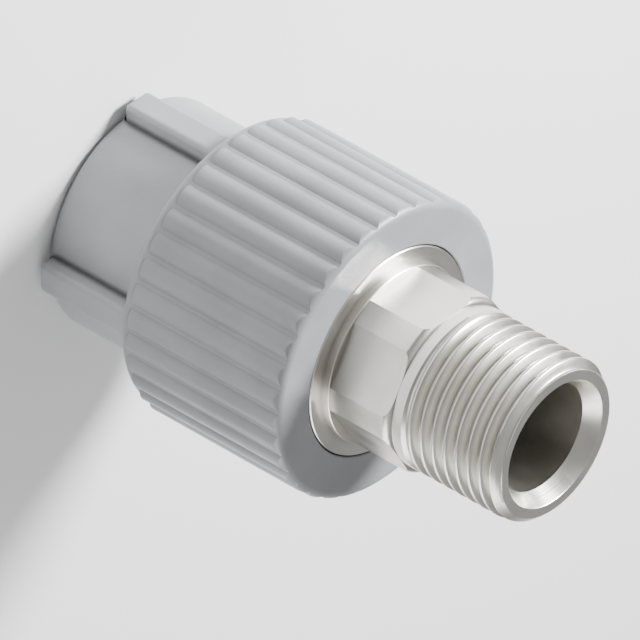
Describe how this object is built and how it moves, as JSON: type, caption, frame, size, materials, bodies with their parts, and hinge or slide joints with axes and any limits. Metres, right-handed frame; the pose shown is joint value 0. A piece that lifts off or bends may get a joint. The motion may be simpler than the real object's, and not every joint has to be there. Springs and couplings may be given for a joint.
{
  "type": "transition fitting",
  "caption": "Union adaptor with a ribbed plastic pipe socket, a toothed union nut and a metal end with spanner flats and a male pipe thread.",
  "frame": {"origin": "centre of the socket's end face", "axes": "+Z along the fitting's axis from the pipe socket towards the threaded end, +X through one of the ribs"},
  "size_m": [0.0386, 0.0386, 0.0666],
  "materials": {
    "socket_plastic": "satin moulded plastic",
    "nut_plastic": "satin moulded plastic",
    "plated_metal": "turned and nickel plated",
    "seal_rubber": "smooth"
  },
  "bodies": {
    "socket": {"socket_end": "socket_plastic", "o_ring": "seal_rubber"},
    "end": {"threaded_end": "plated_metal"},
    "nut": {"union_nut": "nut_plastic"}
  },
  "joints": [
    {"name": "end_slide", "type": "slide", "parent": "socket", "child": "end", "axis": [0, 0, 1], "range_m": [0, 0.01616]},
    {"name": "nut_turn", "type": "hinge", "parent": "end", "child": "nut", "pos_m": [0, 0, 0.0365], "axis": [0, 0, 1], "range_deg": [0, 2520]}
  ],
  "couplings": [
    {"joint": "nut_turn", "follows": "end_slide", "rad_per_m": 2721.2}
  ]
}
